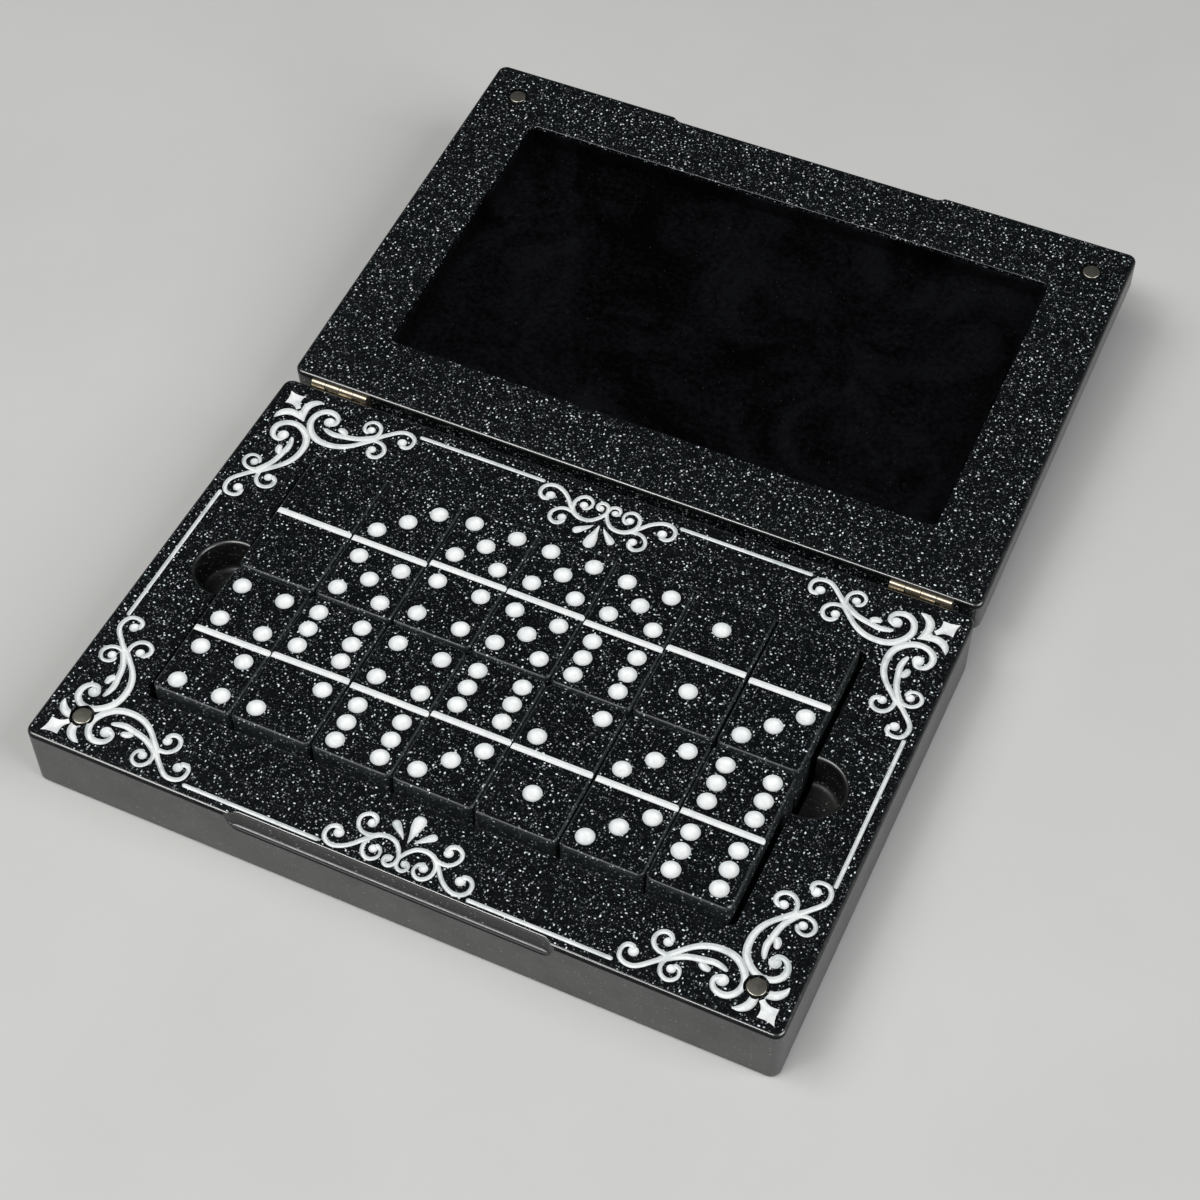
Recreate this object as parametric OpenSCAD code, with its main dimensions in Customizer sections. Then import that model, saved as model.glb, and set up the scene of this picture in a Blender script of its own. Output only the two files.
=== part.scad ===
// Domino storage box: a flat cast tray and lid on two small butt hinges,
// holding a double-six set of dominoes in two layers of two rows.
// Millimetres. The origin is the centre of the tray's underside, +X runs along
// the long side, +Y from the front edge to the hinges, +Z up.
// The lid is drawn as it lies open behind the tray.

/* [Dominoes] */
// Width of one domino
tile_w = 25; // [20:0.5:30]
// Length of one domino
tile_l = 48; // [40:0.5:60]
// Thickness of one domino
tile_t = 10.5; // [7:0.5:13]
// Radius of a domino's upright corners
tile_corner_r = 2; // [1:0.1:3]
// Bevel round a domino's two faces
tile_bevel = 0.7; // [0.3:0.1:1]
// Radius of a pip at the face
pip_r = 2.75; // [1.5:0.05:3]
// Depth of a pip
pip_depth = 0.7; // [0.3:0.1:1.2]
// Distance between pips across a domino
pip_step_x = 7; // [6:0.1:8]
// Distance between pips along a domino
pip_step_y = 6.5; // [6:0.1:7]
// Distance from a domino's middle to the middle pip of each half
pip_middle = 12; // [11:0.1:13]
// Width of the bar across a domino's middle
bar_w = 2.1; // [1:0.1:3]
// Depth of that bar
bar_depth = 0.4; // [0.2:0.1:0.8]
// Gap between neighbouring dominoes
tile_gap = 0.3; // [0.2:0.05:0.8]

/* [Tray] */
// How far the top layer stands above the rim
tile_proud = 3.7; // [2:0.1:5]
// Clearance between the dominoes and each side wall of the pocket
pocket_slack_x = 2; // [0.5:0.1:4]
// Clearance between the dominoes and the pocket's front and back walls
pocket_slack_y = 1.45; // [0.5:0.05:4]
// Radius of the pocket's upright corners
pocket_corner_r = 2.5; // [1:0.1:5]
// Width of the rim at the left and right
rim_side = 23.9; // [18:0.1:40]
// Width of the rim at the front and back
rim_front = 25.4; // [18:0.1:40]
// Thickness of the tray's floor
floor_t = 4.5; // [2.5:0.1:8]
// Radius of the upright corners of tray and lid
corner_r = 3; // [2:0.1:8]
// Bevel round the rims, where tray and lid meet
rim_bevel = 0.6; // [0.3:0.1:1]
// Bevel round the underside of the tray and the top of the lid
outer_bevel = 1.2; // [0.5:0.1:2]
// Bevel round the mouths of the pocket, the scoops and the lid's recess
mouth_bevel = 0.4; // [0.2:0.1:0.8]
// Radius of the two thumb scoops
scoop_r = 10.15; // [8:0.05:14]
// How far each scoop's axis lies beyond the pocket's side wall
scoop_out = 1.7; // [0:0.1:3]
// Depth of the scoops below the rim
scoop_depth = 11.5; // [8:0.1:14]

/* [Lid] */
// Clear height between the closed lid's lining and the dominoes
lid_headroom = 3.3; // [1:0.1:6]
// Thickness of the lid over its recess
roof_t = 4.6; // [2.5:0.1:8]
// Clearance between the dominoes and the lid's lined side walls
lid_slack_x = 2.5; // [0.5:0.1:5]
// Clearance between the dominoes and the lid's lined front and back walls
lid_slack_y = 2.95; // [0.5:0.05:5]
// Radius of the recess's upright corners
recess_corner_r = 2.5; // [1.5:0.1:5]
// Angle between the closed lid and the lid as it lies open
open_angle = 175.8; // [90:0.1:178]
// Gap between the rims of the closed box
parting_gap = 0.15; // [0.1:0.05:0.5]

/* [Linings] */
// Thickness of the velvet on its backing
lining_t = 1; // [0.5:0.1:2]
// Clearance between a lining and the walls round it
lining_gap = 0.1; // [0.05:0.05:0.5]
// How far the lid's lining stops below the rim
lining_drop = 0.9; // [0.5:0.1:2]

/* [Finger notch] */
// Width of the notch where it meets the outer faces
notch_w = 99; // [60:1:140]
// How far the notch goes into the rim
notch_depth = 1.6; // [1:0.1:2.5]
// Height of the notch in each of the two rims
notch_h = 5.7; // [3:0.1:8]
// Run of the notch's slanted ends
notch_end = 2.8; // [1:0.1:6]

/* [Magnets] */
// Diameter of a disc magnet
magnet_d = 6; // [4:0.1:8]
// Thickness of a disc magnet
magnet_t = 2; // [1:0.1:3]
// Bevel of a disc magnet's edges
magnet_bevel = 0.35; // [0.1:0.05:0.45]
// Gap round a magnet in its hole
magnet_gap = 0.4; // [0.1:0.05:0.6]
// How far a magnet's face lies below the rim
magnet_sink = 0.3; // [0.1:0.05:0.6]
// Distance from a magnet's axis to the two nearest outer faces
magnet_inset = 11.8; // [9:0.1:14]

/* [Hinges] */
// Distance of each hinge's middle from the nearer side face
hinge_inset = 17.8; // [16:0.1:50]
// Length of a hinge
hinge_len = 19.2; // [14:0.1:24]
// Number of knuckles in a hinge
knuckles = 4; // [2:2:6]
// Gap between neighbouring knuckles
knuckle_gap = 0.2; // [0.1:0.05:0.4]
// Radius of a knuckle
knuckle_r = 1.3; // [1.1:0.05:1.5]
// Radius of the hinge pin
pin_r = 0.6; // [0.4:0.05:0.8]
// Radial clearance of the pin in its knuckles
pin_play = 0.05; // [0.02:0.01:0.08]
// Distance from the hinge axis to the back faces of tray and lid
hinge_offset = 1.75; // [1.6:0.05:2.5]
// Thickness of a hinge leaf
leaf_t = 0.8; // [0.5:0.05:1]
// How far a leaf reaches from the hinge axis
leaf_reach = 8; // [7:0.1:10]
// How far a leaf's plate stays from the hinge axis beside the other's knuckles
leaf_clear = 1.6; // [1.5:0.05:2]

/* [Screws] */
// Distance of each screw from the hinge's middle
screw_x = 5.5; // [4:0.1:7]
// Distance of each screw from the hinge axis
screw_reach = 4.9; // [4:0.1:6]
// Diameter of a screw's head
screw_head_d = 3; // [2.5:0.1:3.5]
// Height of a screw's head
screw_head_h = 0.9; // [0.4:0.05:0.95]
// Diameter of a screw's shank
screw_d = 1.4; // [1:0.1:1.8]
// Length of a screw's shank
screw_l = 7; // [4:0.5:10]
// Radial clearance of a shank in its holes
screw_play = 0.1; // [0.05:0.05:0.3]
// Width of a screw's slot
slot_w = 0.4; // [0.3:0.05:0.6]
// Depth of a screw's slot
slot_depth = 0.4; // [0.2:0.05:0.5]

/* [Hidden] */
// The dominoes as they lie, left to right: [half towards the hinges, half towards the front]
top_back_row = [[0, 0], [3, 5], [5, 4], [5, 5], [5, 6], [1, 1], [0, 3]];
top_front_row = [[4, 4], [6, 2], [4, 6], [6, 3], [2, 1], [3, 3], [6, 6]];
low_back_row = [[0, 1], [2, 4], [3, 1], [0, 6], [2, 2], [5, 1], [0, 4]];
low_front_row = [[2, 5], [0, 2], [4, 1], [3, 4], [6, 1], [0, 5], [3, 2]];
layers = [[low_front_row, low_back_row], [top_front_row, top_back_row]];
columns = len(top_back_row);
rows = len(layers[0]);

// Where the pips of a half lie, in steps across and along
pip_plan = [
    [],
    [[0, 0]],
    [[-1, -1], [1, 1]],
    [[-1, -1], [0, 0], [1, 1]],
    [[-1, -1], [1, -1], [-1, 1], [1, 1]],
    [[-1, -1], [1, -1], [0, 0], [-1, 1], [1, 1]],
    [[-1, -1], [1, -1], [-1, 0], [1, 0], [-1, 1], [1, 1]]
];

pitch_x = tile_w + tile_gap;
pitch_y = tile_l + tile_gap;
block_w = columns * pitch_x - tile_gap;
block_d = rows * pitch_y - tile_gap;
pocket_w = block_w + 2 * pocket_slack_x;
pocket_d = block_d + 2 * pocket_slack_y;
box_w = pocket_w + 2 * rim_side;
box_d = pocket_d + 2 * rim_front;
base_h = floor_t + lining_t + len(layers) * tile_t - tile_proud;
scoop_x = pocket_w / 2 + scoop_out;
recess_w = block_w + 2 * (lid_slack_x + lining_t + lining_gap);
recess_d = block_d + 2 * (lid_slack_y + lining_t + lining_gap);
recess_depth = tile_proud + lid_headroom + lining_t - parting_gap;
lid_h = recess_depth + roof_t;
hinge_x = box_w / 2 - hinge_inset;
hinge_y = box_d / 2 + hinge_offset;
hinge_z = base_h + parting_gap / 2;
magnet_x = box_w / 2 - magnet_inset;
magnet_y = box_d / 2 - magnet_inset;
magnet_hole_r = magnet_d / 2 + magnet_gap;
knuckle_len = (hinge_len + knuckle_gap) / knuckles - knuckle_gap;
pip_ball_r = (pow(pip_r, 2) + pow(pip_depth, 2)) / (2 * pip_depth);
// Overlap of a cutting body past the face that it opens
cut = 1;
// Least radius of a lining's inner corners
least_r = 0.3;
round_fn = 48;
small_fn = 32;

resin = "#15171a";
velvet = "#08080a";
brass = "#b9985a";
nickel = "#b8bcc0";

function tile_name(t) = str("domino_", min(t[0], t[1]), "_", max(t[0], t[1]));

// A round post whose end edges are bevelled
module bevelled_post(r, h, low, high, fn = round_fn) {
    rotate_extrude($fn = fn)
        polygon([[0, 0], [r - low, 0], [r, low], [r, h - high], [r - high, h], [0, h]]);
}

// A bar with bevelled long edges, w wide and reaching d along Y
module bevelled_bar(w, d, h, low, high) {
    side = w / 2;
    rotate([90, 0, 0])
        linear_extrude(d, center = true)
            polygon([
                [low - side, 0], [side - low, 0], [side, low], [side, h - high],
                [side - high, h], [high - side, h], [-side, h - high], [-side, low]
            ]);
}

// A slab with round upright corners and bevelled edges below and above
module bevelled_slab(w, d, h, r, low, high, fn = round_fn) {
    for (sx = [-1, 1], sy = [-1, 1])
        translate([sx * (w / 2 - r), sy * (d / 2 - r), 0])
            bevelled_post(r, h, low, high, fn);
    bevelled_bar(w, d - 2 * r, h, low, high);
    rotate([0, 0, 90]) bevelled_bar(d, w - 2 * r, h, low, high);
}

module plain_slab(w, d, h, r) {
    linear_extrude(h) {
        square([w - 2 * r, d], center = true);
        square([w, d - 2 * r], center = true);
        for (sx = [-1, 1], sy = [-1, 1])
            translate([sx * (w / 2 - r), sy * (d / 2 - r)])
                circle(r, $fn = round_fn);
    }
}

// The space of a recess that opens upwards at z = 0, its mouth widened by a bevel
module recess_space(w, d, depth, r) {
    translate([0, 0, -depth]) plain_slab(w, d, depth + cut, r);
    flare = mouth_bevel + cut;
    translate([0, 0, cut]) mirror([0, 0, 1])
        bevelled_slab(w + 2 * flare, d + 2 * flare, flare, r + flare, 0, flare);
}

// The space of a thumb scoop, opening upwards at z = 0
module scoop_space() {
    translate([0, 0, -scoop_depth])
        cylinder(h = scoop_depth + cut, r = scoop_r, $fn = round_fn);
    translate([0, 0, -mouth_bevel])
        cylinder(h = mouth_bevel + cut, r1 = scoop_r, r2 = scoop_r + mouth_bevel + cut,
            $fn = round_fn);
}

// The finger notch below a rim at z = 0, in a front face at y = 0 that looks towards -Y
module notch_space() {
    slope = notch_depth / notch_h;
    half = notch_w / 2;
    run = notch_end * cut / notch_depth;
    intersection() {
        rotate([90, 0, 90])
            linear_extrude(notch_w + 2 * run, center = true)
                polygon([
                    [-cut, -notch_h - cut / slope],
                    [notch_depth + cut * slope, cut],
                    [-cut, cut]
                ]);
        translate([0, 0, -notch_h - cut])
            linear_extrude(notch_h + 2 * cut)
                polygon([
                    [-half - run, -cut],
                    [half + run, -cut],
                    [half - notch_end - run, notch_depth + cut],
                    [notch_end + run - half, notch_depth + cut]
                ]);
    }
}

// A magnet's hole, opening upwards at z = 0
module magnet_hole() {
    translate([0, 0, -magnet_sink - magnet_t])
        cylinder(h = magnet_sink + magnet_t + cut, r = magnet_hole_r, $fn = round_fn);
}

module magnet() {
    color(nickel)
        translate([0, 0, -magnet_sink - magnet_t])
            bevelled_post(magnet_d / 2, magnet_t, magnet_bevel, magnet_bevel);
}

// What follows is placed on the hinge axis, in the closed box
module at_hinge_axis() {
    translate([0, hinge_y, hinge_z]) children();
}

// Moves a piece of the closed lid, drawn round the hinge axis, to where the open lid lies
module as_opened() {
    at_hinge_axis() rotate([-open_angle, 0, 0]) children();
}

// The closed lid's frame: its rim at z = 0 looking up, turned over, its middle at the origin
module lid_inside_up() {
    translate([0, -hinge_offset - box_d / 2, parting_gap / 2]) mirror([0, 0, 1]) children();
}

module screw_holes() {
    for (h = [-1, 1], s = [-1, 1])
        translate([h * hinge_x + s * screw_x, -hinge_offset + cut, -screw_reach])
            rotate([90, 0, 0])
                cylinder(h = screw_l + cut + cut, r = screw_d / 2 + screw_play, $fn = small_fn);
}

module base_tray() {
    color(resin) difference() {
        bevelled_slab(box_w, box_d, base_h, corner_r, outer_bevel, rim_bevel);
        translate([0, 0, base_h]) {
            recess_space(pocket_w, pocket_d, base_h - floor_t, pocket_corner_r);
            for (s = [-1, 1]) {
                translate([s * scoop_x, 0, 0]) scoop_space();
                translate([s * magnet_x, -magnet_y, 0]) magnet_hole();
            }
            translate([0, -box_d / 2, 0]) notch_space();
        }
        at_hinge_axis() screw_holes();
    }
}

module base_lining() {
    gap = 2 * lining_gap;
    color(velvet)
        translate([0, 0, floor_t])
            plain_slab(pocket_w - gap, pocket_d - gap, lining_t, pocket_corner_r - lining_gap);
}

module lid_shell() {
    color(resin) as_opened() difference() {
        lid_inside_up() difference() {
            translate([0, 0, -lid_h])
                bevelled_slab(box_w, box_d, lid_h, corner_r, outer_bevel, rim_bevel);
            recess_space(recess_w, recess_d, recess_depth, recess_corner_r);
            for (s = [-1, 1])
                translate([s * magnet_x, -magnet_y, 0]) magnet_hole();
            translate([0, -box_d / 2, 0]) notch_space();
        }
        mirror([0, 0, 1]) screw_holes();
    }
}

// Velvet over the recess's floor and up its walls
module lid_lining() {
    w = recess_w - 2 * lining_gap;
    d = recess_d - 2 * lining_gap;
    r = recess_corner_r - lining_gap;
    color(velvet) as_opened() lid_inside_up()
        difference() {
            translate([0, 0, -recess_depth])
                plain_slab(w, d, recess_depth - lining_drop, r);
            translate([0, 0, lining_t - recess_depth])
                plain_slab(w - 2 * lining_t, d - 2 * lining_t, recess_depth,
                    max(r - lining_t, least_r));
        }
}

// One leaf, its plate on a back face below the axis, with every second knuckle from the first
module hinge_leaf(first) {
    difference() {
        union() {
            translate([-hinge_len / 2, -hinge_offset, -leaf_reach])
                cube([hinge_len, leaf_t, leaf_reach - leaf_clear]);
            for (k = [first:2:knuckles - 1])
                translate([k * (knuckle_len + knuckle_gap) - hinge_len / 2, 0, 0]) {
                    translate([0, -hinge_offset, -leaf_clear - leaf_t])
                        cube([knuckle_len, leaf_t, leaf_clear + leaf_t]);
                    rotate([0, 90, 0]) cylinder(h = knuckle_len, r = knuckle_r, $fn = small_fn);
                }
        }
        translate([-hinge_len / 2 - cut, 0, 0]) rotate([0, 90, 0])
            cylinder(h = hinge_len + 2 * cut, r = pin_r + pin_play, $fn = small_fn);
        for (s = [-1, 1])
            translate([s * screw_x, -hinge_offset + leaf_t + cut, -screw_reach])
                rotate([90, 0, 0])
                    cylinder(h = leaf_t + 2 * cut, r = screw_d / 2 + screw_play, $fn = small_fn);
    }
}

module base_leaf(side) {
    color(brass) at_hinge_axis() translate([side * hinge_x, 0, 0]) hinge_leaf(0);
}

module lid_leaf(side) {
    color(brass) as_opened() translate([side * hinge_x, 0, 0]) mirror([0, 0, 1]) hinge_leaf(1);
}

module hinge_pin(side) {
    color(brass) at_hinge_axis()
        translate([side * hinge_x - hinge_len / 2, 0, 0]) rotate([0, 90, 0])
            cylinder(h = hinge_len, r = pin_r, $fn = small_fn);
}

// The four screws of the leaves on one back face, below the axis
module hinge_screws() {
    for (h = [-1, 1], s = [-1, 1])
        translate([h * hinge_x + s * screw_x, leaf_t - hinge_offset, -screw_reach])
            rotate([90, 0, 0]) difference() {
                union() {
                    cylinder(h = leaf_t + screw_l, r = screw_d / 2, $fn = small_fn);
                    translate([0, 0, -screw_head_h])
                        cylinder(h = screw_head_h, r = screw_head_d / 2, $fn = small_fn);
                }
                translate([-screw_head_d, -slot_w / 2, -screw_head_h - cut])
                    cube([2 * screw_head_d, slot_w, slot_depth + cut]);
            }
}

module base_hinge_screws() {
    color(brass) at_hinge_axis() hinge_screws();
}

module lid_hinge_screws() {
    color(brass) as_opened() mirror([0, 0, 1]) hinge_screws();
}

module base_magnet(side) {
    translate([side * magnet_x, -magnet_y, base_h]) magnet();
}

module lid_magnet(side) {
    as_opened() lid_inside_up() translate([side * magnet_x, -magnet_y, 0]) magnet();
}

module pips(half) {
    for (p = pip_plan[half])
        translate([p[0] * pip_step_x, p[1] * pip_step_y, pip_ball_r - pip_depth])
            sphere(pip_ball_r, $fn = round_fn);
}

// A domino with its face up and its middle on the Z axis
module domino(t) {
    color(resin) difference() {
        bevelled_slab(tile_w, tile_l, tile_t, tile_corner_r, tile_bevel, tile_bevel, small_fn);
        translate([0, 0, tile_t]) {
            translate([-tile_w / 2 - cut, -bar_w / 2, -bar_depth])
                cube([tile_w + 2 * cut, bar_w, bar_depth + cut]);
            translate([0, pip_middle, 0]) pips(t[0]);
            translate([0, -pip_middle, 0]) pips(t[1]);
        }
    }
}

// A domino in its place: column, row and layer count from the left, the front and the floor
module placed_domino(layer, row, column) {
    translate([
        (column - (columns - 1) / 2) * pitch_x,
        (row - (rows - 1) / 2) * pitch_y,
        floor_t + lining_t + layer * tile_t
    ])
        domino(layers[layer][row][column]);
}

base_tray();
base_lining();
lid_shell();
lid_lining();
base_leaf(-1);  // hinge_left_base_leaf
lid_leaf(-1);  // hinge_left_lid_leaf
hinge_pin(-1);  // hinge_left_pin
base_leaf(1);  // hinge_right_base_leaf
lid_leaf(1);  // hinge_right_lid_leaf
hinge_pin(1);  // hinge_right_pin
base_hinge_screws();
lid_hinge_screws();
base_magnet(-1);  // base_magnet_left
base_magnet(1);  // base_magnet_right
lid_magnet(-1);  // lid_magnet_left
lid_magnet(1);  // lid_magnet_right
for (layer = [0:len(layers) - 1], row = [0:rows - 1], column = [0:columns - 1])
    placed_domino(layer, row, column);
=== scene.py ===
"""Dresses the domino storage box: cast resin tray and lid with glitter, engraved and
painted scrollwork, velvet linings, painted dominoes, brass hinges and nickel magnets."""

import itertools
import math

import bmesh
import bpy
from mathutils import Matrix, Vector, noise


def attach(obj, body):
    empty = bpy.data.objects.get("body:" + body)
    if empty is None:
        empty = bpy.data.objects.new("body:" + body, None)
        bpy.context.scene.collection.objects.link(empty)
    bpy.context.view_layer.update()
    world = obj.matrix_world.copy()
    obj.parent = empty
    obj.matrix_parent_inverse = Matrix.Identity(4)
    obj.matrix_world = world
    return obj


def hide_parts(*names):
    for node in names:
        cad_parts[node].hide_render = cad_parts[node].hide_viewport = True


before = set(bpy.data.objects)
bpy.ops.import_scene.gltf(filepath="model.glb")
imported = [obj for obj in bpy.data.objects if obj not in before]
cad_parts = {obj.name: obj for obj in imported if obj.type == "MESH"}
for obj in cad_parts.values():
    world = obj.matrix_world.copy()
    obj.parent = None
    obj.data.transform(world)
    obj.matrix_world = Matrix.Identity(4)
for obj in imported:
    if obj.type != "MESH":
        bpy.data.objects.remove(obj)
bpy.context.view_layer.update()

MM = 0.001

# Sizes in millimetres: the solids' own, but bevels, pips, bars, scoops, notches and magnets
# follow the photograph a little more closely
TILE_W, TILE_L, TILE_T = 25.0, 48.0, 10.5
TILE_R, TILE_BEVEL, TILE_GAP = 2.2, 0.9, 0.3
PIP_R, PIP_DEPTH, PIP_BOWL, PIP_MIDDLE = 2.75, 1.1, 2.7, 12.0
PIP_STEP_X, PIP_STEP_Y = 7.0, 6.5
BAR_W, BAR_DEPTH = 2.1, 0.6
BOX_W, BOX_D, BASE_H, CORNER_R = 228.6, 150.0, 22.8, 3.0
RIM_BEVEL, OUTER_BEVEL, MOUTH_BEVEL = 0.9, 1.2, 0.4
# How far down the outer sides a rim's band reaches, its lower part black and dull: painted shade
RIM_BAND = 1.5
POCKET_W, POCKET_D, POCKET_R, FLOOR_T = 180.8, 99.2, 2.5, 4.5
SCOOP_R, SCOOP_X, SCOOP_DEPTH, SCOOP_FLARE, SCOOP_COVE = 9.75, 92.1, 11.5, 1.0, 2.5
LID_H, RECESS_W, RECESS_D, RECESS_DEPTH, RECESS_R = 12.45, 184.0, 104.4, 7.85, 2.5
LINING_T, LINING_GAP, LINING_DROP = 1.0, 0.1, 0.9
NOTCH_W, NOTCH_DEPTH, NOTCH_H, NOTCH_END = 99.0, 1.6, 4.8, 2.8
NOTCH_EDGE, NOTCH_LIP, NOTCH_COVE, NOTCH_SHADE_BAND = 0.6, 0.9, 1.15, 0.9
MAGNET_HOLE_R, MAGNET_HOLE_DEPTH, MAGNET_HOLE_FLARE = 3.6, 2.45, 0.15
MAGNET_X, MAGNET_Y = 102.5, 63.2
MAGNET_R, MAGNET_T, MAGNET_SUNK, MAGNET_BEVEL = 2.75, 2.0, 0.45, 0.35
HINGE_OFFSET, PARTING_GAP, OPEN_ANGLE = 1.75, 0.15, 175.8

# Steps in the quarter turn of a rounded edge, and of an upright corner
ARC = 6
CORNER_ARC = 8
# The least radius of a corner, so that each ring of a piece keeps as many points
LEAST_R = 0.05
# How far a cutter stands out of the face that it cuts, and how far one of painted ornament does
CUT = 1.0
PAINT_CUT = 0.4
# Edges sharper than this stay sharp, on resin and metal and on velvet
SHARP = math.radians(22)
CLOTH_SHARP = math.radians(50)


# Materials


def new_material(name):
    mat = bpy.data.materials.new(name)
    mat.use_nodes = True
    return mat, mat.node_tree, mat.node_tree.nodes["Principled BSDF"]


def add_node(tree, kind, **settings):
    made = tree.nodes.new(kind)
    for key, value in settings.items():
        setattr(made, key, value)
    return made


def math_node(tree, operation, a, b=None, clamp=False):
    made = add_node(tree, "ShaderNodeMath", operation=operation, use_clamp=clamp)
    for socket, value in zip(made.inputs, (a, b)):
        if value is None:
            continue
        if isinstance(value, (int, float)):
            socket.default_value = value
        else:
            tree.links.new(value, socket)
    return made.outputs[0]


def object_space(tree):
    return add_node(tree, "ShaderNodeTexCoord").outputs["Object"]


def noise_value(tree, space, scale, detail=2.0, roughness=0.5, distortion=0.0):
    made = add_node(tree, "ShaderNodeTexNoise")
    tree.links.new(space, made.inputs["Vector"])
    made.inputs["Scale"].default_value = scale
    made.inputs["Detail"].default_value = detail
    made.inputs["Roughness"].default_value = roughness
    made.inputs["Distortion"].default_value = distortion
    return made.outputs["Fac"]


def ramp(tree, value, *stops):
    made = add_node(tree, "ShaderNodeValToRGB")
    band = made.color_ramp
    while len(band.elements) < len(stops):
        band.elements.new(0.5)
    for element, (place, colour) in zip(band.elements, stops):
        element.position = place
        element.color = (*colour, 1.0)
    tree.links.new(value, made.inputs["Fac"])
    return made.outputs["Color"]


def map_range(tree, value, low, high, to_low, to_high, soft=False):
    made = add_node(tree, "ShaderNodeMapRange")
    if soft:
        made.interpolation_type = "SMOOTHSTEP"
    tree.links.new(value, made.inputs["Value"])
    settings = (("From Min", low), ("From Max", high), ("To Min", to_low), ("To Max", to_high))
    for name, number in settings:
        made.inputs[name].default_value = number
    return made.outputs["Result"]


def drift(tree, noisy, low, high):
    """A number that wanders from low to high with a noise, most of which is from 0.3 to 0.7."""
    return map_range(tree, noisy, 0.3, 0.7, low, high)


def mix_colour(tree, factor, a, b):
    made = add_node(tree, "ShaderNodeMix", data_type="RGBA")
    sockets = [s for s in made.inputs if s.enabled]
    for socket, value in zip(sockets, (factor, a, b)):
        if isinstance(value, bpy.types.NodeSocket):
            tree.links.new(value, socket)
        elif isinstance(value, (int, float)):
            socket.default_value = value
        else:
            socket.default_value = (*value, 1.0)
    return next(s for s in made.outputs if s.enabled)


def bump(tree, height, shader, relief, strength):
    """Raises the surface by up to relief, in millimetres."""
    made = add_node(tree, "ShaderNodeBump")
    made.inputs["Strength"].default_value = strength
    made.inputs["Distance"].default_value = relief * MM
    tree.links.new(height, made.inputs["Height"])
    tree.links.new(made.outputs["Normal"], shader.inputs["Normal"])


# The least radius of a flake as a share of the largest, and where its rim fades
FLAKE_LEAST, FLAKE_RIM, FLAKE_END = 0.55, 0.7, 1.15


def flakes(tree, space, cell_mm, radius, power, gain):
    """Glitter: the brightness of round flakes, one in each cell, with radius as a share of the
    cell; a higher power leaves more of them dim."""
    cells = add_node(tree, "ShaderNodeTexVoronoi", voronoi_dimensions="3D", feature="F1")
    tree.links.new(space, cells.inputs["Vector"])
    cells.inputs["Scale"].default_value = 1.0 / (cell_mm * MM)
    parts = add_node(tree, "ShaderNodeSeparateColor")
    tree.links.new(cells.outputs["Color"], parts.inputs["Color"])
    reach = map_range(tree, parts.outputs["Green"], 0.0, 1.0, radius * FLAKE_LEAST, radius)
    near = math_node(tree, "DIVIDE", cells.outputs["Distance"], reach)
    spot = map_range(tree, near, FLAKE_RIM, FLAKE_END, 1.0, 0.0, soft=True)
    glow = math_node(tree, "POWER", parts.outputs["Red"], power)
    return math_node(tree, "MULTIPLY", math_node(tree, "MULTIPLY", spot, glow), gain)


RESIN_BLACK = (0.0012, 0.0019, 0.0024)
FLAKE_WHITE = (0.86, 0.93, 0.95)
# Two shades of a material, a darker and a lighter one
EDGE_DARK, EDGE_LIGHT = (0.004, 0.005, 0.005), (0.01, 0.011, 0.011)
PAINT_DARK, PAINT_LIGHT = (0.74, 0.765, 0.765), (0.9, 0.91, 0.905)
VELVET_DARK, VELVET_LIGHT = (0.0003, 0.0003, 0.0005), (0.0045, 0.0047, 0.0056)
FLOOR_DARK, FLOOR_LIGHT = (0.575, 0.575, 0.56), (0.605, 0.605, 0.59)
# Paint where it lies thin, the painted shade on a hollow's sloping walls, and the velvet's lint
PAINT_THIN, PAINT_WALL_SHADE, LINT_GREY = (0.36, 0.42, 0.425), (0.36, 0.4, 0.4), (0.8, 0.8, 0.8)
# Flakes by size, and lint: cell in millimetres, radius, power and gain
LONG_FLAKES = (0.93, 0.28, 5.0, 1.7)
MIDDLE_FLAKES = (0.64, 0.39, 4.0, 0.37)
FINE_FLAKES = (0.45, 0.5, 3.0, 0.03)
LINT = (0.7, 0.16, 5.0, 0.035)
# The two ways that long flakes lie: a turn, and how space is squeezed along X, Y and Z
LONG_FLAKE_WAYS = ((0.6, (1.0, 0.6, 1.0)), (-0.35, (0.6, 1.0, 1.0)))


def squeezed(tree, space, scale, turn=0.0):
    """Space turned about Z and scaled, which stretches what is drawn in it."""
    made = add_node(tree, "ShaderNodeMapping")
    made.inputs["Rotation"].default_value = (0.0, 0.0, turn)
    made.inputs["Scale"].default_value = scale
    tree.links.new(space, made.inputs["Vector"])
    return made.outputs["Vector"]


def glitter(tree, space, strength):
    """The brightness of all the glitter at a point: long, middle and fine flakes together."""

    def layer(where, kind):
        *shape, gain = kind
        return flakes(tree, where, *shape, gain * strength)

    large = 0.0
    for turn, scale in LONG_FLAKE_WAYS:
        large = math_node(tree, "ADD", layer(squeezed(tree, space, scale, turn), LONG_FLAKES), large)
    both = math_node(tree, "ADD", large, layer(space, MIDDLE_FLAKES))
    return math_node(tree, "ADD", both, layer(space, FINE_FLAKES), clamp=True)


def flake_tint(tree, space):
    """The flakes' colour, from a little green to a little violet."""
    return ramp(
        tree,
        noise_value(tree, space, 900.0, 0.0),
        (0.35, (0.8, 0.93, 0.92)),
        (0.5, FLAKE_WHITE),
        (0.65, (0.88, 0.89, 0.98)),
    )


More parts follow.
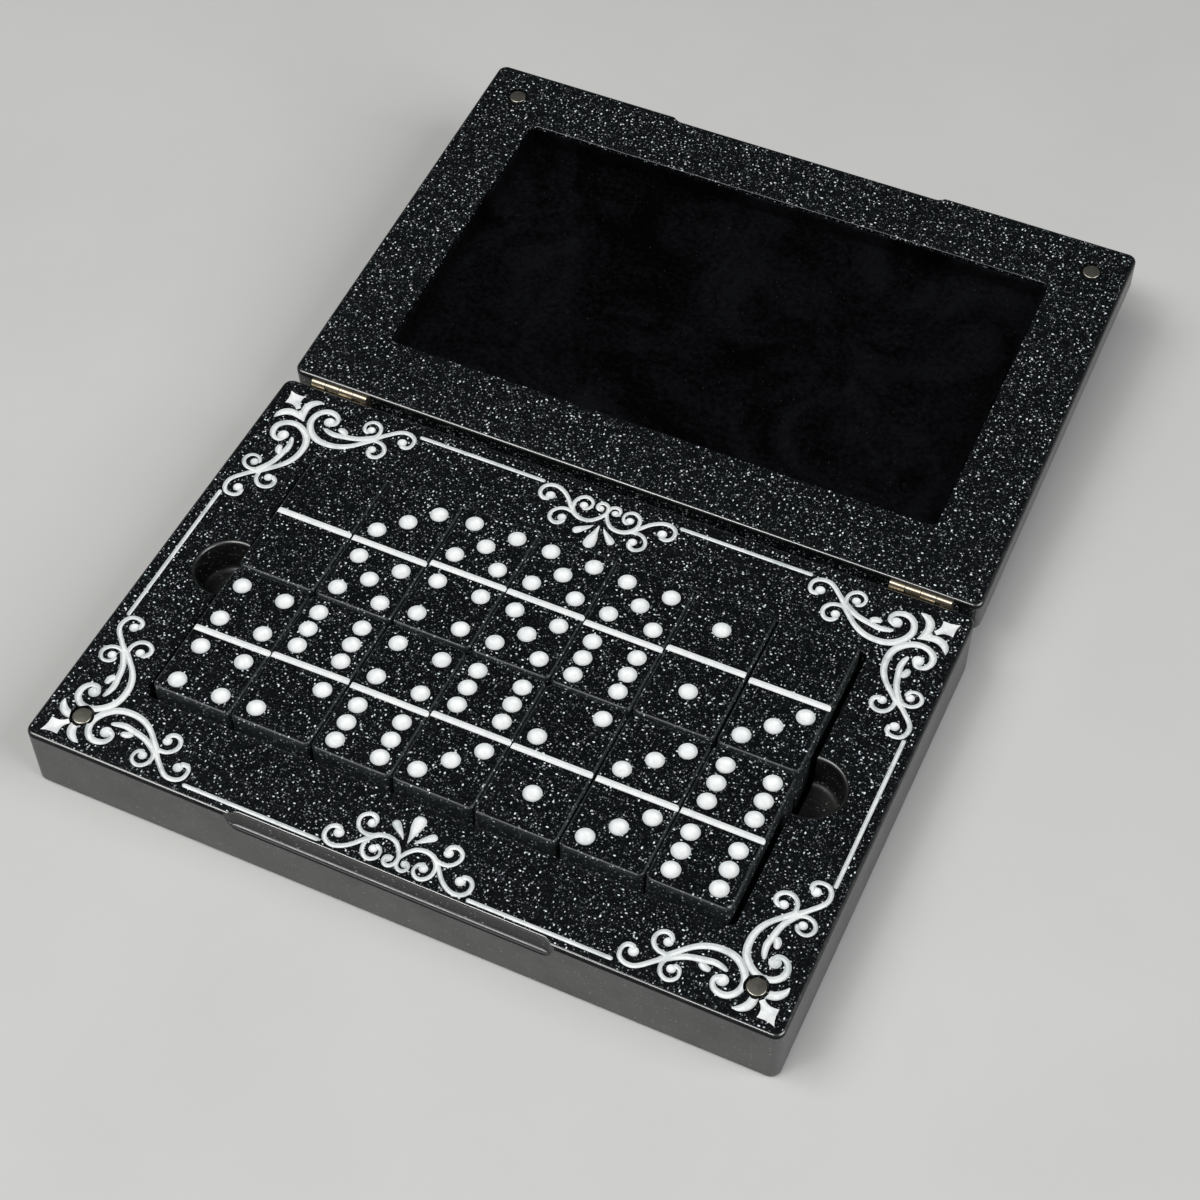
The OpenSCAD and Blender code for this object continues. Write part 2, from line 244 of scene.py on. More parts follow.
def glitter_resin(name, black, strength, roughness):
    """Cast resin full of fine glitter, polished to a satin gloss."""
    mat, tree, shader = new_material(name)
    space = object_space(tree)
    cloud = ramp(
        tree,
        noise_value(tree, space, 45.0, 3.0),
        (0.3, black),
        (0.7, tuple(c * 1.6 for c in black)),
    )
    colour = mix_colour(tree, glitter(tree, space, strength), cloud, flake_tint(tree, space))
    tree.links.new(colour, shader.inputs["Base Color"])
    rough = drift(tree, noise_value(tree, space, 260.0, 4.0), roughness - 0.04, roughness + 0.05)
    tree.links.new(rough, shader.inputs["Roughness"])
    bump(tree, noise_value(tree, space, 120.0, 3.0), shader, 0.04, 0.25)
    return mat


def edge_resin(name, coat, dulling):
    """Black resin on the rounded edges: coat makes it glossier than the faces are, and dulling
    takes the gloss away."""
    mat, tree, shader = new_material(name)
    space = object_space(tree)
    rub = noise_value(tree, space, 350.0, 3.0)
    tree.links.new(
        ramp(tree, rub, (0.35, EDGE_DARK), (0.65, EDGE_LIGHT)), shader.inputs["Base Color"]
    )
    tree.links.new(drift(tree, rub, 0.22, 0.34), shader.inputs["Roughness"])
    shader.inputs["Specular IOR Level"].default_value = 0.5 * (1 - dulling)
    shader.inputs["Coat Weight"].default_value = coat
    shader.inputs["Coat IOR"].default_value = 1.9
    tree.links.new(
        drift(tree, rub, 0.16 + 0.3 * dulling, 0.28 + 0.3 * dulling),
        shader.inputs["Coat Roughness"],
    )
    return mat


def sanded_resin(name, low, high, strength, tint=(1.0, 1.0, 1.0)):
    """Resin sanded to a grey satin that hides most of its glitter."""
    mat, tree, shader = new_material(name)
    space = object_space(tree)
    grain = noise_value(tree, squeezed(tree, space, (0.15, 0.15, 1.0)), 1400.0, 3.0, 0.6)
    cloud = noise_value(tree, space, 90.0, 4.0, 0.6)
    both = math_node(
        tree, "ADD", math_node(tree, "MULTIPLY", grain, 0.5), math_node(tree, "MULTIPLY", cloud, 0.5)
    )
    low_colour, high_colour = (tuple(value * t for t in tint) for value in (low, high))
    base = ramp(tree, both, (0.35, low_colour), (0.65, high_colour))
    colour = mix_colour(tree, glitter(tree, space, strength), base, FLAKE_WHITE)
    tree.links.new(colour, shader.inputs["Base Color"])
    tree.links.new(drift(tree, grain, 0.34, 0.46), shader.inputs["Roughness"])
    bump(tree, grain, shader, 0.02, 0.3)
    return mat


def white_paint(name, thin, wall):
    """White paint in a groove, greyer where it lies thin; wall greys its sloping walls, a painted
    shade.
    """
    mat, tree, shader = new_material(name)
    space = object_space(tree)
    blotch = noise_value(tree, space, 420.0, 4.0, 0.6, 0.4)
    base = ramp(tree, blotch, (0.3, PAINT_DARK), (0.62, PAINT_LIGHT))
    cover = map_range(tree, noise_value(tree, space, 170.0, 3.0, 0.55, 0.6), 0.5, 0.68, 0.0, thin)
    base = mix_colour(tree, cover, base, PAINT_THIN)
    # Painted shade: the paint greys where the face slopes, the steeper the greyer
    facing = add_node(tree, "ShaderNodeSeparateXYZ")
    tree.links.new(add_node(tree, "ShaderNodeTexCoord").outputs["Normal"], facing.inputs[0])
    wall_shade = map_range(tree, facing.outputs["Z"], 0.74, 0.95, wall, 0.0)
    base = mix_colour(tree, wall_shade, base, PAINT_WALL_SHADE)
    tree.links.new(base, shader.inputs["Base Color"])
    tree.links.new(drift(tree, blotch, 0.5, 0.36), shader.inputs["Roughness"])
    bump(tree, noise_value(tree, space, 900.0, 3.0), shader, 0.03, 0.35)
    return mat


def velvet(name):
    """Short black pile, stroked in patches, with a little lint combed into it."""
    mat, tree, shader = new_material(name)
    space = object_space(tree)
    stroke = noise_value(tree, space, 26.0, 4.0, 0.62, 1.2)
    pile = noise_value(tree, space, 1700.0, 2.0)
    nap = noise_value(tree, space, 600.0, 4.0, 0.65)
    both = math_node(
        tree, "ADD", math_node(tree, "MULTIPLY", stroke, 0.6), math_node(tree, "MULTIPLY", nap, 0.4)
    )
    base = ramp(tree, both, (0.42, VELVET_DARK), (0.6, VELVET_LIGHT))
    lint = flakes(tree, squeezed(tree, space, (1.0, 0.22, 1.0), 0.5), *LINT)
    tree.links.new(mix_colour(tree, lint, base, LINT_GREY), shader.inputs["Base Color"])
    shader.inputs["Roughness"].default_value = 0.95
    shader.inputs["Specular IOR Level"].default_value = 0.02
    shader.inputs["Sheen Weight"].default_value = 0.004
    shader.inputs["Sheen Roughness"].default_value = 0.5
    bump(tree, pile, shader, 0.25, 0.6)
    return mat


def metal(name, dark, bright, roughness, grain_scale, relief):
    """Bare metal with a fine grain, its relief in millimetres."""
    mat, tree, shader = new_material(name)
    space = object_space(tree)
    grain = noise_value(tree, space, grain_scale, 4.0, 0.65)
    tree.links.new(
        ramp(tree, grain, (0.35, dark), (0.65, bright)), shader.inputs["Base Color"]
    )
    shader.inputs["Metallic"].default_value = 1.0
    tree.links.new(
        drift(tree, grain, roughness + 0.08, roughness - 0.06), shader.inputs["Roughness"]
    )
    bump(tree, grain, shader, relief, 0.3)
    return mat


RESIN = glitter_resin("resin_glitter", RESIN_BLACK, 1.0, 0.25)
TILE_RESIN = glitter_resin("domino_resin_glitter", RESIN_BLACK, 0.95, 0.23)
EDGE = edge_resin("resin_polished_edge", 1.0, 0.0)
LIP = edge_resin("resin_buffed_lip", 1.0, 0.5)
# Black and dull below a rim's highlight and a notch's lip: a painted shade
SHADE_BAND_RESIN = edge_resin("resin_painted_shade_band", 0.0, 0.9)
SANDED = sanded_resin("resin_sanded_side", 0.048, 0.098, 0.13)
NOTCH_RESIN = sanded_resin("resin_sanded_notch", 0.02, 0.034, 0.25)
SMOOTH = sanded_resin("resin_smooth_scoop", 0.003, 0.008, 0.16, (1.05, 1.0, 0.9))
TILE_SIDE = sanded_resin("domino_sanded_side", 0.012, 0.028, 0.7, (0.84, 1.06, 1.1))
# The last number is how far each paint greys on its hollows' walls, a painted shade
PAINT = white_paint("pip_paint", 0.0, 0.5)
BAR_PAINT = white_paint("bar_paint", 0.1, 0.3)
SCROLL_PAINT = white_paint("scrollwork_paint", 0.42, 0.45)
VELVET = velvet("black_velvet")
BRASS = metal("hinge_brass", (0.36, 0.31, 0.235), (0.54, 0.48, 0.37), 0.36, 500.0, 0.003)
NICKEL = metal("magnet_nickel", (0.4, 0.39, 0.33), (0.52, 0.5, 0.43), 0.36, 700.0, 0.01)


# Mesh building


def outline(w, d, r, inset, edge_x=1, edge_y=1):
    """A rectangle with round corners, drawn in by inset, as points counted the same each time."""
    half_w, half_d = w / 2 - inset, d / 2 - inset
    radius = min(max(r - inset, LEAST_R), half_w, half_d)
    points = []
    corners = ((1, 1, 0), (-1, 1, 90), (-1, -1, 180), (1, -1, 270))
    for number, (sx, sy, start) in enumerate(corners):
        cx, cy = sx * (half_w - radius), sy * (half_d - radius)
        for k in range(CORNER_ARC + 1):
            angle = math.radians(start + 90 * k / CORNER_ARC)
            points.append((cx + radius * math.cos(angle), cy + radius * math.sin(angle)))
        steps = edge_x if number % 2 == 0 else edge_y
        nx, ny, next_start = corners[(number + 1) % 4]
        first = points[-1]
        angle = math.radians(next_start)
        last = (
            nx * (half_w - radius) + radius * math.cos(angle),
            ny * (half_d - radius) + radius * math.sin(angle),
        )
        for k in range(1, steps):
            t = k / steps
            points.append((first[0] + (last[0] - first[0]) * t, first[1] + (last[1] - first[1]) * t))
    return points


def circle(r, inset, steps=48):
    radius = r - inset
    return [
        (radius * math.cos(2 * math.pi * k / steps), radius * math.sin(2 * math.pi * k / steps))
        for k in range(steps)
    ]


def quarter(steps=ARC):
    """The angles of a quarter turn, from its start to its end."""
    return [math.radians(90 * k / steps) for k in range(steps + 1)]


def slab_profile(h, low, high, band=0.0):
    """(inset, height) pairs up the side of a slab with round edges; band adds a ring below h."""
    pairs = [(low * (1 - math.sin(a)), low * (1 - math.cos(a))) for a in quarter()]
    if band:
        pairs.append((0.0, h - band))
    pairs += [(high * (1 - math.cos(a)), h - high * (1 - math.sin(a))) for a in quarter()]
    return pairs


def mouth_profile(depth, flare, cove=0.0):
    """(inset, height) pairs up the wall of a hole whose mouth, at height 0, is rounded; cove is
    the radius that its wall meets its floor with."""
    pairs = [(0.0, -depth)]
    if cove:
        pairs = [(cove * (1 - math.sin(a)), -depth + cove * (1 - math.cos(a))) for a in quarter()]
    pairs.append((0.0, -flare))
    pairs += [(-flare * (1 - math.cos(a)), -flare + flare * math.sin(a)) for a in quarter()[1:]]
    pairs.append((-flare, CUT))
    return pairs


def loft(name, rings, mats, centre=(0.0, 0.0), dome=None):
    """A closed mesh through rings of (points, height); dome gives the last cap's centre height."""
    bm = bmesh.new()
    rows = []
    for points, z in rings:
        rows.append(
            [bm.verts.new(((x + centre[0]) * MM, (y + centre[1]) * MM, z * MM)) for x, y in points]
        )
    tip = None
    if dome is not None:
        tip = bm.verts.new((centre[0] * MM, centre[1] * MM, dome * MM))
    return close_rows(name, bm, rows, mats, tip=tip)


def close_rows(name, bm, rows, mats, number=None, tip=None):
    """A closed mesh from rows of vertices; number gives the material number of a face by its row
    and column, and tip is the middle of the last cap."""
    for row, (low, high) in enumerate(zip(rows, rows[1:])):
        for column, vert in enumerate(low):
            after = (column + 1) % len(low)
            face = bm.faces.new((vert, low[after], high[after], high[column]))
            face.material_index = number(row, column) if number else 0
    bm.faces.new(rows[0][::-1])
    if tip is None:
        bm.faces.new(rows[-1])
    else:
        for column, vert in enumerate(rows[-1]):
            bm.faces.new((vert, rows[-1][(column + 1) % len(rows[-1])], tip))
    bmesh.ops.recalc_face_normals(bm, faces=bm.faces)
    return finish_mesh(name, bm, mats)


def finish_mesh(name, bm, mats):
    mesh = bpy.data.meshes.new(name)
    bm.to_mesh(mesh)
    bm.free()
    for mat in mats:
        mesh.materials.append(mat)
    obj = bpy.data.objects.new(name, mesh)
    bpy.context.scene.collection.objects.link(obj)
    return obj


def carve(obj, cutters):
    """Cuts the cutters out of obj; the cut faces keep the cutters' materials."""
    for cutter in cutters:
        cut = obj.modifiers.new("cut", "BOOLEAN")
        cut.operation = "DIFFERENCE"
        cut.solver = "MANIFOLD"
        cut.material_mode = "TRANSFER"
        cut.object = cutter
    graph = bpy.context.evaluated_depsgraph_get()
    mesh = bpy.data.meshes.new_from_object(obj.evaluated_get(graph))
    obj.modifiers.clear()
    obj.data = mesh
    for cutter in cutters:
        bpy.data.objects.remove(cutter)
    return obj


def smooth(obj, angle=SHARP):
    for polygon in obj.data.polygons:
        polygon.use_smooth = True
    obj.data.set_sharp_from_angle(angle=angle)
    return obj


def surface(obj, mat, belongs):
    """Gives the faces that belong their own material."""
    obj.data.materials.append(mat)
    number = len(obj.data.materials) - 1
    for polygon in obj.data.polygons:
        if belongs(polygon):
            polygon.material_index = number


def catmull(points, steps):
    """A smooth run through (x, y, width) points."""
    ends = [
        tuple(2 * a - b for a, b in zip(points[0], points[1])),
        *points,
        tuple(2 * a - b for a, b in zip(points[-1], points[-2])),
    ]
    run = []
    for p0, p1, p2, p3 in zip(ends, ends[1:], ends[2:], ends[3:]):
        for k in range(steps):
            t = k / steps
            run.append(
                tuple(
                    0.5
                    * (
                        2 * b
                        + (c - a) * t
                        + (2 * a - 5 * b + 4 * c - d) * t**2
                        + (3 * b - a - 3 * c + d) * t**3
                    )
                    for a, b, c, d in zip(p0, p1, p2, p3)
                )
            )
    run.append(tuple(points[-1]))
    return run


# Scrollwork

# The groove's cross-section: (share of the half width, share of the depth)
GROOVE = ((-1.0, 0.0), (-0.74, 0.62), (-0.42, 0.97), (0.42, 0.97), (0.74, 0.62), (1.0, 0.0))
# The groove's depth as a share of its width, its most, and the least width
GROOVE_SLOPE, GROOVE_MOST, GROOVE_LEAST_W = 0.52, 0.72, 0.15
# How much of its drawn width a stroke takes, and of its drawn radius a disc and a disc's depth
STROKE_SHARE, DISC_SHARE, DISC_SLOPE = 0.87, 0.92, 0.4
# Rings at a stroke's round end; they stop short of its tip, where they would have no width
CAP_STEPS, CAP_STOP = 4, 0.25
# The rings of a dimple's bowl, as shares of its radius
DIMPLE_RINGS = (0.92, 0.82, 0.7, 0.55, 0.35, 0.15)


def groove(name, points, place, top, steps=5, share=STROKE_SHARE):
    """A cutter for one engraved stroke through (x, y, width) points, its ends round."""
    run = catmull(points, steps)
    spots = [Vector((x, y)) for x, y, _ in run]
    widths = [max(w * share, GROOVE_LEAST_W) for _, _, w in run]
    sections = []
    for k, spot in enumerate(spots):
        ahead = spots[min(k + 1, len(spots) - 1)] - spots[max(k - 1, 0)]
        sections.append((spot, ahead.normalized(), widths[k] / 2))
    caps = [math.radians(90 * k / (CAP_STEPS + CAP_STOP)) for k in range(1, CAP_STEPS + 1)]
    spot, ahead, half = sections[0]
    head = [(spot - ahead * half * math.sin(a), ahead, half * math.cos(a)) for a in reversed(caps)]
    spot, ahead, half = sections[-1]
    tail = [(spot + ahead * half * math.sin(a), ahead, half * math.cos(a)) for a in caps]
    bm = bmesh.new()
    rows = []
    for spot, ahead, half in head + sections + tail:
        across = Vector((-ahead.y, ahead.x))
        depth = min(half * 2 * GROOVE_SLOPE, GROOVE_MOST)
        loop = [(-half, PAINT_CUT)]
        loop += [(half * s, -depth * z) for s, z in GROOVE]
        loop += [(half, PAINT_CUT)]
        row = []
        for offset, z in loop:
            x, y = place(*(spot + across * offset))
            row.append(bm.verts.new((x * MM, y * MM, (top + z) * MM)))
        rows.append(row)
    return close_rows(name, bm, rows, [SCROLL_PAINT])


def dimple(name, x, y, r, depth, place, top, mat, bowl=2.0, steps=32):
    """A cutter for a round hollow; a higher bowl number gives a flatter floor."""
    rings = [(circle(r, 0, steps), top + PAINT_CUT), (circle(r, 0, steps), top)]
    for share in DIMPLE_RINGS:
        rings.append((circle(r * share, 0, steps), top - depth * (1 - share**bowl)))
    return loft(name, rings, [mat], place(x, y), dome=top - depth)


# The ornament, in millimetres: strokes of (x, y, width), discs of (x, y, radius).
# A corner is drawn as one arm, along X, and mirrored for the other.

ARM_STROKES = (
    (
        (76.9, 65.0, 2.2), (75.6, 66.3, 1.8), (74.2, 67.6, 1.75), (72.6, 69.1, 1.75),
        (70.9, 70.2, 1.7), (69.2, 70.5, 1.7), (67.4, 70.1, 1.65), (66.1, 69.0, 1.55),
        (65.7, 67.4, 1.45), (66.0, 65.8, 1.5), (67.0, 64.9, 1.7), (68.3, 65.0, 1.9),
    ),
    (
        (77.6, 64.9, 1.8), (77.2, 66.3, 1.5), (77.2, 67.8, 1.4), (78.0, 69.4, 1.45),
        (79.6, 70.35, 1.5), (81.2, 70.1, 1.4), (82.4, 68.9, 1.25), (82.5, 67.4, 1.2),
        (81.9, 66.2, 1.4), (80.8, 65.75, 1.6),
    ),
    (
        (77.8, 63.8, 2.0), (76.4, 63.6, 1.6), (74.8, 63.4, 1.5), (73.3, 62.5, 1.55),
        (72.4, 61.0, 1.6), (72.4, 59.4, 1.55), (73.2, 58.0, 1.6), (74.6, 57.35, 1.65),
        (76.0, 57.7, 1.7), (76.8, 58.8, 1.7),
    ),
    (
        (77.4, 64.9, 2.2), (79.6, 63.4, 2.2), (82.0, 62.15, 2.1), (84.3, 61.45, 2.15),
        (86.8, 61.0, 2.2), (89.2, 60.55, 2.2), (91.2, 60.75, 2.0), (92.6, 61.15, 1.6),
        (93.2, 61.35, 1.2),
    ),
    (
        (77.2, 64.2, 2.4), (79.4, 61.8, 2.0), (82.0, 59.2, 1.9), (84.6, 57.4, 2.2),
        (87.3, 56.4, 2.3), (90.0, 56.1, 2.4), (92.7, 56.35, 2.5), (95.2, 57.4, 2.6),
        (97.3, 59.4, 2.5), (98.6, 61.8, 2.4), (98.85, 64.1, 2.3), (98.1, 66.4, 2.3),
        (96.4, 68.0, 2.35), (94.3, 68.35, 2.3), (92.3, 67.6, 2.0), (91.3, 66.1, 1.7),
        (91.5, 64.6, 1.9), (92.6, 63.9, 2.0),
    ),
    ((86.9, 62.5, 2.4), (87.7, 62.95, 2.5), (88.6, 63.1, 2.1)),
    (
        (98.9, 70.75, 0.6), (100.3, 70.3, 2.0), (101.7, 69.3, 2.8), (102.6, 67.8, 3.0),
        (102.8, 66.0, 2.8), (102.4, 64.3, 2.4), (101.8, 62.9, 1.6), (101.0, 61.7, 0.6),
    ),
)
ARM_DISCS = (
    (69.0, 66.4, 1.6), (80.05, 67.0, 1.42), (76.2, 60.0, 1.48), (93.35, 64.5, 1.93),
)
# How much more x is than y all along the diagonal that the arm is mirrored on
ARM_SHIFT = 39.35
STEM = ((101.3, 61.95, 0.8), (102.6, 63.25, 2.2), (103.6, 64.25, 2.2))
DIAMOND = (
    (110.7, 71.35), (109.3, 70.85), (107.6, 70.6), (105.55, 70.7), (105.75, 69.5),
    (105.7, 68.2), (105.1, 67.0), (104.3, 66.1), (105.45, 64.95), (106.35, 65.75),
    (107.55, 66.35), (108.85, 66.4), (110.05, 66.2), (109.95, 68.25), (110.2, 69.95),
)
DIAMOND_MIDDLE = (107.6, 68.25)
# The rings of the diamond's cutter: share of the outline, height from the face
DIAMOND_RINGS = ((1.0, PAINT_CUT), (1.0, 0.0), (0.5, -0.45), (0.12, -0.6))

EDGE_STROKES = (
    (
        (0.15, 65.9, 1.3), (0.1, 67.8, 1.3), (0.5, 69.3, 1.35), (1.6, 70.1, 1.4),
        (2.8, 70.0, 1.4), (3.55, 69.1, 1.25), (3.45, 68.0, 1.4), (2.8, 67.5, 1.6),
    ),
    (
        (0.1, 66.8, 1.3), (0.6, 65.6, 1.45), (1.7, 63.9, 1.5), (3.3, 62.45, 1.6),
        (5.5, 61.9, 1.65), (7.6, 62.25, 1.75), (9.3, 63.3, 1.9), (10.3, 64.7, 1.8),
        (10.6, 66.2, 1.45), (10.5, 67.9, 1.4), (9.7, 69.4, 1.5), (8.3, 70.3, 1.5),
        (6.8, 70.2, 1.4), (5.5, 69.1, 1.2), (5.3, 67.6, 1.1), (5.9, 66.4, 1.35),
        (7.0, 65.85, 1.6),
    ),
    (
        (10.4, 64.3, 1.6), (11.7, 65.9, 1.6), (13.3, 67.8, 1.55), (15.0, 69.25, 1.6),
        (17.0, 70.3, 1.6), (18.9, 70.55, 1.65), (20.6, 70.0, 1.6), (21.75, 68.7, 1.55),
        (22.0, 67.0, 1.5), (21.4, 65.5, 1.5), (20.1, 64.7, 1.65), (18.8, 64.9, 1.8),
    ),
    (
        (9.9, 63.4, 1.7), (11.6, 63.6, 1.5), (13.2, 63.3, 1.45), (14.6, 62.2, 1.4),
        (15.4, 60.6, 1.4), (15.3, 59.0, 1.45), (14.3, 57.8, 1.5), (12.9, 57.3, 1.6),
        (11.5, 57.9, 1.8), (10.9, 59.0, 1.8),
    ),
    ((1.75, 61.0, 0.35), (2.6, 60.0, 1.2), (3.8, 58.9, 2.0), (4.9, 57.9, 2.7), (5.6, 57.3, 2.85)),
)
EDGE_DISCS = ((2.4, 67.85, 1.2), (7.6, 67.0, 1.4), (18.4, 66.4, 1.62), (11.6, 59.9, 1.5))
PETAL = ((0.0, 61.4, 0.5), (0.0, 60.0, 1.3), (0.0, 58.2, 2.4), (0.0, 56.5, 3.7), (0.0, 54.3, 4.4))

# The scrollwork's centre, from the tray's centre
ART_X, ART_Y = 0.35, -0.95
# The border lines: their width, how far out they run and where they start and end
LINE_W = 1.25
LINE_X, LINE_Y = 109.9, 70.75
SIDE_LINE_END, LONG_LINE_START, LONG_LINE_END = 25.9, 22.9, 64.4


def quadrant(sx, sy):
    """Places the drawing in one quarter of the rim."""
    return lambda x, y: (ART_X + sx * x, ART_Y + sy * y)


def other_arm(place):
    """Places a corner's arm along Y instead of X."""
    return lambda x, y: place(y + ARM_SHIFT, x - ARM_SHIFT)


def star(name, place, top):
    """The cutter for the corner's diamond: its outline at the face, drawn in at the floor."""
    middle = Vector(DIAMOND_MIDDLE)
    rings = []
    for share, z in DIAMOND_RINGS:
        rings.append(
            ([place(*(middle + (Vector(p) - middle) * share)) for p in DIAMOND], top + z)
        )
    return loft(name, rings, [SCROLL_PAINT])


def discs(spots, place, top):
    """The cutters for the round ends of the scrolls."""
    return [
        dimple("disc", x, y, r * DISC_SHARE, r * DISC_SLOPE, place, top, SCROLL_PAINT)
        for x, y, r in spots
    ]


def scrollwork(top):
    """The cutters for all the painted ornament of the tray's rim."""
    cutters = []
    for sx in (-1, 1):
        for sy in (-1, 1):
            corner = quadrant(sx, sy)
            for place in (corner, other_arm(corner)):
                cutters += [groove("stroke", s, place, top) for s in ARM_STROKES]
                cutters += discs(ARM_DISCS, place, top)
            cutters.append(groove("stem", STEM, corner, top))
            cutters.append(star("diamond", corner, top))
            cutters += [groove("stroke", s, corner, top) for s in EDGE_STROKES]
            cutters += discs(EDGE_DISCS, corner, top)
            long_line = [(LONG_LINE_START, LINE_Y, LINE_W), (LONG_LINE_END, LINE_Y, LINE_W)]
            cutters.append(groove("line", long_line, corner, top, steps=1, share=1))
    for side in (-1, 1):
        cutters.append(groove("petal", PETAL, quadrant(1, side), top))
        side_line = [(LINE_X, -SIDE_LINE_END, LINE_W), (LINE_X, SIDE_LINE_END, LINE_W)]
        cutters.append(groove("line", side_line, quadrant(side, 1), top, steps=1, share=1))
    return cutters


# Tray and lid

# The depth of the dark band below a notch's lip, a painted shade, so that it has faces of its own
SKIN = 0.02
# How the finger notch runs in at its ends: shares of the end's length, the depth and the height
NOTCH_RUN = (
    (0.0, 0.01, 0.03), (0.08, 0.05, 0.34), (0.2, 0.13, 0.66), (0.35, 0.3, 0.88),
    (0.5, 0.5, 0.97), (0.65, 0.72, 1.0), (0.8, 0.9, 1.0), (1.0, 1.0, 1.0),
)
# How much longer such an end is than the solid notch's, and the steps down the notch's cove
NOTCH_EASE = 1.5
NOTCH_STEPS = 12
# The material numbers on the notch's cutter
ON_EDGE, ON_COVE, ON_SHADE_BAND, ON_LIP = 0, 1, 2, 3
# The limits that tell faces apart by their normal: its z on the underside, on the lower bevel, on
# faces that look up, on the upper part of a rim's edge and on the rim, and its y at the hinges
UNDERSIDE_Z, LOWER_BEVEL_Z, UPWARD_Z, UPPER_EDGE_Z, RIM_Z = -0.8, -0.35, 0.3, 0.5, 0.995
HINGE_SIDE_Y = 0.8
# A face is level where its normal's z is past the first of these, upright where it is within
# the second
LEVEL, UPRIGHT = 0.97, 0.05


def slab(name, w, d, h, r, low, high, mats, z=0.0, band=0.0):
    profile = slab_profile(h, low, high, band)
    rings = [(outline(w, d, r, inset), z + height) for inset, height in profile]
    return loft(name, rings, mats)


def recess_cutter(name, w, d, depth, r, top, mats):
    rings = [(outline(w, d, r, inset), top + z) for inset, z in mouth_profile(depth, MOUTH_BEVEL)]
    return loft(name, rings, mats)


def round_cutter(name, x, y, r, depth, flare, top, mats, cove=0.0):
    rings = [(circle(r, inset), top + z) for inset, z in mouth_profile(depth, flare, cove)]
    return loft(name, rings, mats, (x, y))


def notch_section(depth, height, share):
    """The cove's profile from its rounded upper edge down to the painted-shade band below its
    rounded lip, as (inwards, z, material number)."""
    edge, lip = NOTCH_EDGE * share, NOTCH_LIP * share
    points = []
    for a in quarter()[:-1]:
        points.append((depth + edge - edge * math.sin(a), -edge + edge * math.cos(a), ON_EDGE))
    for a in quarter(NOTCH_STEPS):
        inwards = lip + (depth - lip) * math.cos(a) ** NOTCH_COVE
        points.append((inwards, -edge - (height - edge) * math.sin(a) ** NOTCH_COVE, ON_COVE))
    # The cove's last point is where the lip starts
    points[-1] = (*points[-1][:2], ON_LIP)
    for a in quarter()[1:-1]:
        inwards = SKIN + (lip - SKIN) * (1 - math.sin(a))
        points.append((inwards, -height - lip + lip * math.cos(a), ON_LIP))
    low = -height - lip - NOTCH_SHADE_BAND * share
    around = ((SKIN, -height - lip), (SKIN, low), (-CUT, low), (-CUT, CUT), (depth + edge, CUT))
    return points + [(*point, ON_SHADE_BAND) for point in around]


def notch_cutter(name, top):
    """The finger notch below a rim: a cove that runs out softly at both ends."""
    front = -BOX_D / 2
    length = NOTCH_EASE * NOTCH_END
    outer = (NOTCH_W - NOTCH_END + length) / 2
    stations = [(-outer + length * run, d, h) for run, d, h in NOTCH_RUN]
    stations += [(-x, d, h) for x, d, h in reversed(stations)]
    bm = bmesh.new()
    rows = []
    for x, d, h in stations:
        section = notch_section(NOTCH_DEPTH * d, NOTCH_H * h, d)
        rows.append([bm.verts.new(Vector((x, front + y, top + z)) * MM) for y, z, _ in section])
    mats = [EDGE, NOTCH_RESIN, SHADE_BAND_RESIN, LIP]
    return close_rows(name, bm, rows, mats, lambda row, column: section[column][2])


def side_below(top):
    """Tells the sanded faces: the outer sides and the bevel below them, up to the band along the rim
    at height top, but not the hinge side, which stays black as painted shade in the gap."""

    def belongs(polygon):
        x, y = abs(polygon.center.x) / MM, abs(polygon.center.y) / MM
        # The hinge side is left unsanded black, a painted shade for the gap between the halves
        if not UNDERSIDE_Z < polygon.normal.z < UPWARD_Z or polygon.normal.y > HINGE_SIDE_Y:
            return False
        if polygon.center.z / MM > top - RIM_BAND:
            return False
        if polygon.normal.z < LOWER_BEVEL_Z:
            return x > BOX_W / 2 - OUTER_BEVEL or y > BOX_D / 2 - OUTER_BEVEL
        on_side = x > BOX_W / 2 - SKIN / 2 or y > BOX_D / 2 - SKIN / 2
        return on_side or (x > BOX_W / 2 - CORNER_R and y > BOX_D / 2 - CORNER_R)

    return belongs


def on_rim(top, upper):
    """Tells the faces of the rounded edge around the rim at height top: its upper part, or its
    lower part with the band below it."""

    def belongs(polygon):
        x, y = abs(polygon.center.x) / MM, abs(polygon.center.y) / MM
        if polygon.center.z / MM < top - RIM_BAND or polygon.normal.z > RIM_Z:
            return False
        if max(x - BOX_W / 2, y - BOX_D / 2) < -CORNER_R:
            return False
        return (polygon.normal.z > UPPER_EDGE_Z) == upper

    return belongs


def is_scoop_mouth(polygon):
    """Whether a face of the scoop's cutter is on its rounded mouth."""
    high = polygon.center.z / MM > BASE_H - SCOOP_FLARE
    return high and -LEVEL < polygon.normal.z < -UPRIGHT


def magnet_hole(side, top):
    """The cutter for a magnet's hole in the rim at height top."""
    return round_cutter(
        "magnet_hole", side * MAGNET_X, -MAGNET_Y, MAGNET_HOLE_R, MAGNET_HOLE_DEPTH,
        MAGNET_HOLE_FLARE, top, [RESIN],
    )


def cast_half(name, h, top, cutters):
    """A half of the box with its rim at height top, less the cutters and the finger notch."""
    half = slab(
        name, BOX_W, BOX_D, h, CORNER_R, OUTER_BEVEL, RIM_BEVEL, [RESIN], z=top - h, band=RIM_BAND
    )
    surface(half, SANDED, side_below(top))
    surface(half, EDGE, on_rim(top, True))
    # The lower part of the rim's edge and the band below it: black and dull, a painted shade
    surface(half, SHADE_BAND_RESIN, on_rim(top, False))
    carve(half, [*cutters, notch_cutter("notch", top)])
    return smooth(half)


